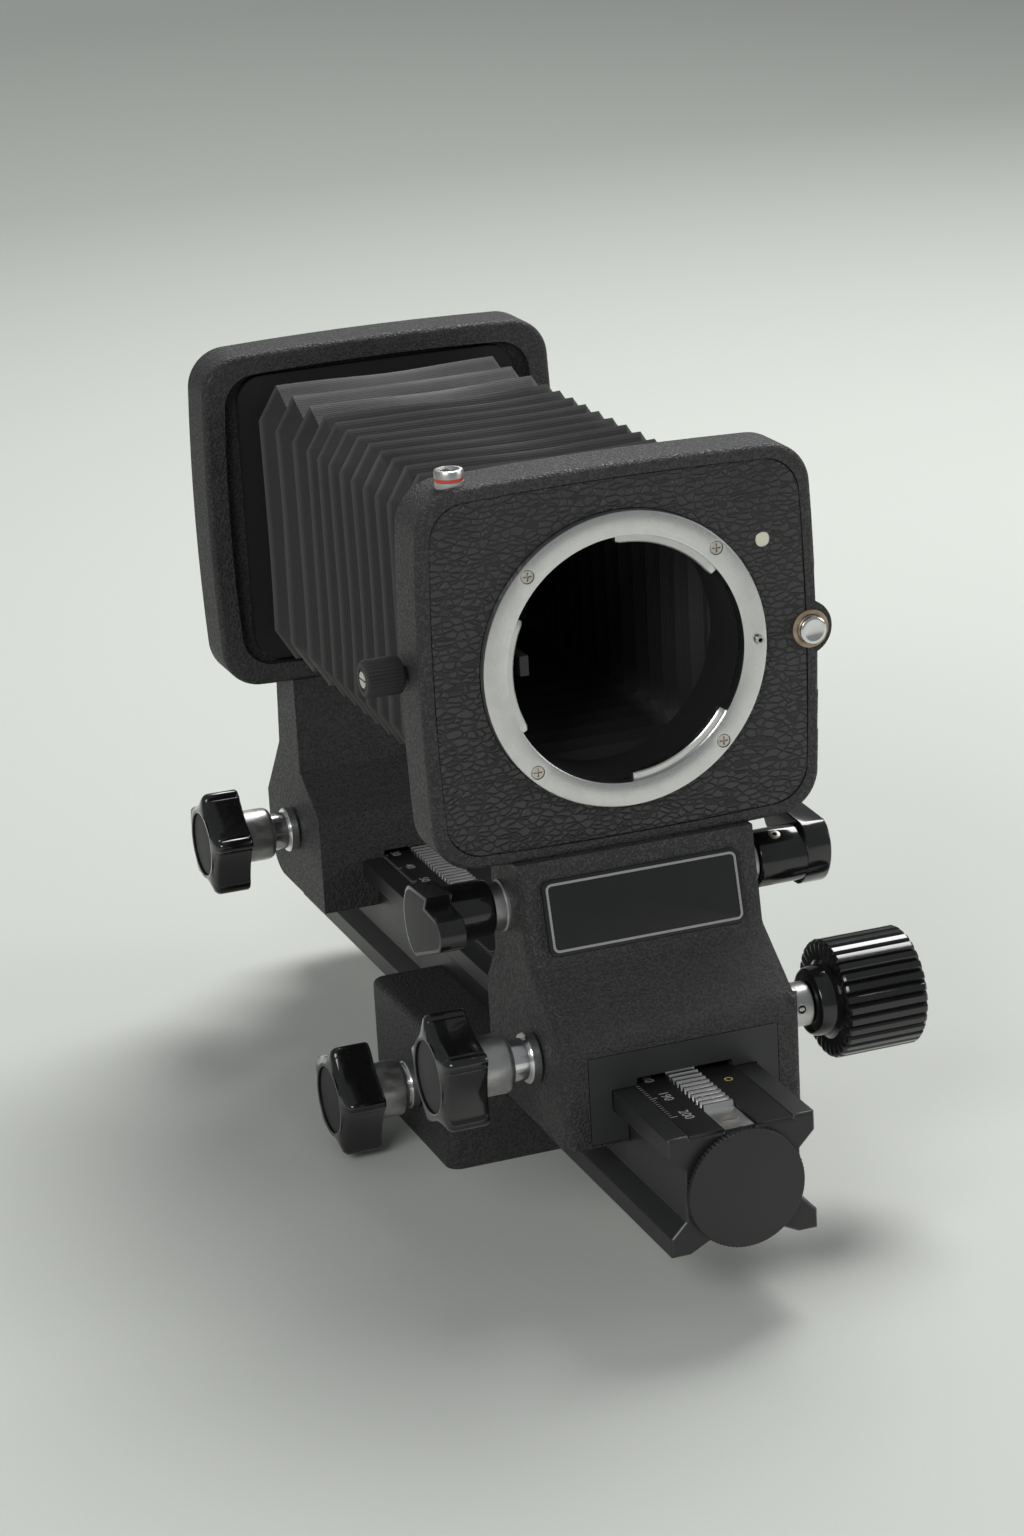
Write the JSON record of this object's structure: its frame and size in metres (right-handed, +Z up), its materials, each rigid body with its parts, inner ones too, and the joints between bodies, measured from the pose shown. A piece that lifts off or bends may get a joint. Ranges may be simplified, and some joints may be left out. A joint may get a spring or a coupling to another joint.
{
  "type": "macro bellows unit",
  "caption": "Extension bellows for close-up photography: lens and camera standards that slide on a geared rail over a focusing stage.",
  "frame": {"origin": "centre of the tripod thread at the underside of the focusing stage", "axes": "+Z up, -Y towards the subject in front of the lens mount, +X towards the drive knobs"},
  "size_m": [0.1063, 0.234, 0.1623],
  "materials": {
    "crinkle_black": "fine crinkled paint",
    "leatherette": "pebbled",
    "satin_silver": "satin chromed brass",
    "plated_steel": "dull plated",
    "screw_steel": "slightly yellowed",
    "rack_silver": "bright cut teeth",
    "black_anodised": "matte black anodised",
    "scale_black": "black anodised strip",
    "knob_black": "gloss",
    "matte_black": "matte",
    "cover_grey": "matte charcoal",
    "flock_black": "dead matt",
    "bellows_cloth": "coated cloth",
    "white_paint": "paint-filled dot",
    "brass": "plain"
  },
  "bodies": {
    "stage": {"stage_body": "crinkle_black", "stage_gib": "brass", "tripod_bush": "plated_steel", "stage_drive_bush": "plated_steel", "stage_brake_pad": "brass"},
    "stage_drive": {"stage_drive_shaft": "plated_steel", "stage_drive_knob": "knob_black"},
    "stage_lock": {"stage_lock_stem": "plated_steel", "stage_lock_collar": "plated_steel", "stage_lock_knob": "knob_black", "stage_lock_cap": "matte_black"},
    "rail": {"rail": "black_anodised", "upper_rack": "rack_silver", "lower_rack": "rack_silver", "rack_screws": "screw_steel", "left_scale_plate": "scale_black", "right_scale_plate": "scale_black", "bellows": "bellows_cloth"},
    "front_disc": {"front_end_disc": "matte_black"},
    "rear_disc": {"rear_end_disc": "matte_black"},
    "front_standard": {"front_casting": "crinkle_black", "front_leather": "leatherette", "index_dot": "white_paint", "lens_mount_ring": "satin_silver", "mount_ring_screws": "screw_steel", "throat_tube": "flock_black", "nameplate": "scale_black", "rail_cover_plate": "cover_grey", "release_collar": "plated_steel", "cable_socket": "satin_silver", "clamp_collars": "plated_steel", "front_drive_bush": "plated_steel", "front_brake_pad": "brass", "front_bellows_frame": "flock_black"},
    "front_drive": {"front_drive_shaft": "plated_steel", "front_drive_knob": "knob_black"},
    "front_lock": {"front_lock_stem": "plated_steel", "front_lock_collar": "plated_steel", "front_lock_knob": "knob_black", "front_lock_cap": "matte_black"},
    "left_clamp": {"left_clamp_lever": "knob_black"},
    "right_clamp": {"right_clamp_lever": "knob_black"},
    "lens_release": {"release_button": "satin_silver", "lock_pin": "satin_silver"},
    "stop_down": {"stop_down_shaft": "plated_steel", "stop_down_knob": "knob_black"},
    "cable_plunger": {"release_plunger": "plated_steel"},
    "rear_standard": {"rear_casting": "crinkle_black", "rear_bellows_frame": "flock_black", "rear_drive_bush": "plated_steel", "rear_brake_pad": "brass"},
    "rear_drive": {"rear_drive_shaft": "plated_steel", "rear_drive_knob": "knob_black"},
    "rear_lock": {"rear_lock_stem": "plated_steel", "rear_lock_collar": "plated_steel", "rear_lock_knob": "knob_black", "rear_lock_cap": "matte_black"},
    "camera_mount": {"camera_mount_ring": "satin_silver"},
    "rotation_lock": {"rotation_lock_screw": "knob_black"}
  },
  "joints": [
    {"name": "rail_slide", "type": "slide", "parent": "stage", "child": "rail", "axis": [0, 1, 0], "range_m": [-0.09, 0.09]},
    {"name": "stage_drive_turn", "type": "hinge", "parent": "stage", "child": "stage_drive", "pos_m": [0, -0.004, 0.0129], "axis": [1, 0, 0], "range_deg": [-1433.39, 1433.39]},
    {"name": "stage_lock_turn", "type": "hinge", "parent": "stage", "child": "stage_lock", "pos_m": [0, -0.004, 0.0129], "axis": [1, 0, 0], "range_deg": [-15, 300]},
    {"name": "front_slide", "type": "slide", "parent": "rail", "child": "front_standard", "axis": [0, 1, 0], "range_m": [-0.027, 0.048], "deforming": ["bellows"]},
    {"name": "front_drive_turn", "type": "hinge", "parent": "front_standard", "child": "front_drive", "pos_m": [0, -0.0725, 0.044], "axis": [1, 0, 0], "range_deg": [-764.94, 430.72]},
    {"name": "front_lock_turn", "type": "hinge", "parent": "front_standard", "child": "front_lock", "pos_m": [0, -0.0725, 0.044], "axis": [1, 0, 0], "range_deg": [-15, 300]},
    {"name": "rear_slide", "type": "slide", "parent": "rail", "child": "rear_standard", "axis": [0, 1, 0], "range_m": [-0.032, 0.0108], "deforming": ["bellows"]},
    {"name": "rear_drive_turn", "type": "hinge", "parent": "rear_standard", "child": "rear_drive", "pos_m": [0, 0.0835, 0.044], "axis": [1, 0, 0], "range_deg": [-172.89, 510.3]},
    {"name": "rear_lock_turn", "type": "hinge", "parent": "rear_standard", "child": "rear_lock", "pos_m": [0, 0.0835, 0.044], "axis": [1, 0, 0], "range_deg": [-15, 300]},
    {"name": "left_clamp_turn", "type": "hinge", "parent": "front_standard", "child": "left_clamp", "pos_m": [0, -0.058, 0.0712], "axis": [1, 0, 0], "range_deg": [-10, 100]},
    {"name": "right_clamp_turn", "type": "hinge", "parent": "front_standard", "child": "right_clamp", "pos_m": [0, -0.058, 0.0712], "axis": [1, 0, 0], "range_deg": [-100, 10]},
    {"name": "lens_release_push", "type": "slide", "parent": "front_standard", "child": "lens_release", "axis": [0, 1, 0], "range_m": [0, 0.0016], "stiffness_N_per_m": 900, "springref_m": -0.001},
    {"name": "plunger_push", "type": "slide", "parent": "front_standard", "child": "cable_plunger", "axis": [0, 0, -1], "range_m": [0, 0.0013], "stiffness_N_per_m": 150, "springref_m": -0.0005},
    {"name": "stop_down_turn", "type": "hinge", "parent": "front_standard", "child": "stop_down", "pos_m": [0, -0.0565, 0.1219], "axis": [1, 0, 0], "range_deg": [-0.5, 18.5]},
    {"name": "camera_mount_turn", "type": "hinge", "parent": "rear_standard", "child": "camera_mount", "pos_m": [0, 0.0891, 0.1207], "axis": [0, 1, 0], "range_deg": [-90, 90]},
    {"name": "rotation_lock_turn", "type": "hinge", "parent": "rear_standard", "child": "rotation_lock", "pos_m": [0, 0.0861, 0.1207], "axis": [1, 0, 0], "range_deg": [-15, 300]},
    {"name": "front_disc_turn", "type": "hinge", "parent": "rail", "child": "front_disc", "pos_m": [0, -0.115, 0.02785], "axis": [0, 1, 0], "range_deg": [-720, 15]},
    {"name": "rear_disc_turn", "type": "hinge", "parent": "rail", "child": "rear_disc", "pos_m": [0, 0.115, 0.02785], "axis": [0, 1, 0], "range_deg": [-15, 720]}
  ],
  "couplings": [
    {"joint": "stage_drive_turn", "follows": "rail_slide", "rad_per_m": -277.78},
    {"joint": "front_drive_turn", "follows": "front_slide", "rad_per_m": -277.78},
    {"joint": "rear_drive_turn", "follows": "rear_slide", "rad_per_m": -277.78},
    {"joint": "stop_down_turn", "follows": "plunger_push", "rad_per_m": 238.1}
  ]
}
